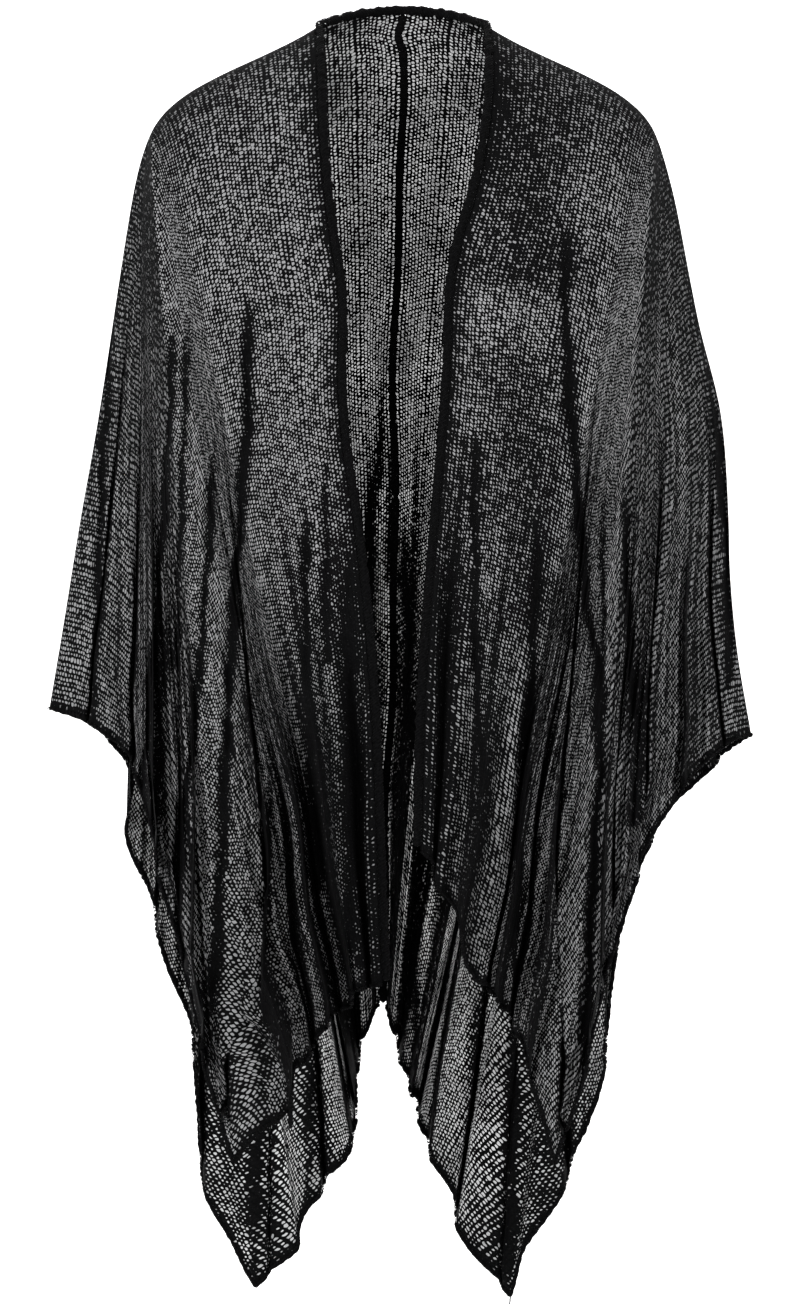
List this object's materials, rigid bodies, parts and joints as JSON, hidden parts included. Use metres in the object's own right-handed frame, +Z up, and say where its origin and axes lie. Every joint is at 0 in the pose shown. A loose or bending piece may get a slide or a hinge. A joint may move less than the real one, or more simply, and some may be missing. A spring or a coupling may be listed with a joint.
{
  "type": "open-front net-knit stole",
  "caption": "Open-front stole of net knit: two straight lengths joined down the back, draped over shoulders and arms to pointed hems.",
  "frame": {"origin": "between the shoulders in the middle of the neck opening, level with the top of the back neck, where the wearer's neck and shoulders hold the stole", "axes": "+Z up, -Y to the open front, +X to the wearer's left"},
  "size_m": [0.6064, 0.3043, 1.1019],
  "materials": {
    "net_knit": "open net knit of matt black yarn",
    "rolled_edge": "dense rolled knit edge, matt black",
    "hem_yarn": "narrow bumpy cast-off edge, matt black"
  },
  "bodies": {
    "root": {"left_panel": "net_knit", "right_panel": "net_knit", "back_seam": "rolled_edge", "left_front_edge": "rolled_edge", "right_front_edge": "rolled_edge", "left_neck_edge": "rolled_edge", "right_neck_edge": "rolled_edge", "left_hem": "hem_yarn", "right_hem": "hem_yarn"}
  },
  "joints": []
}
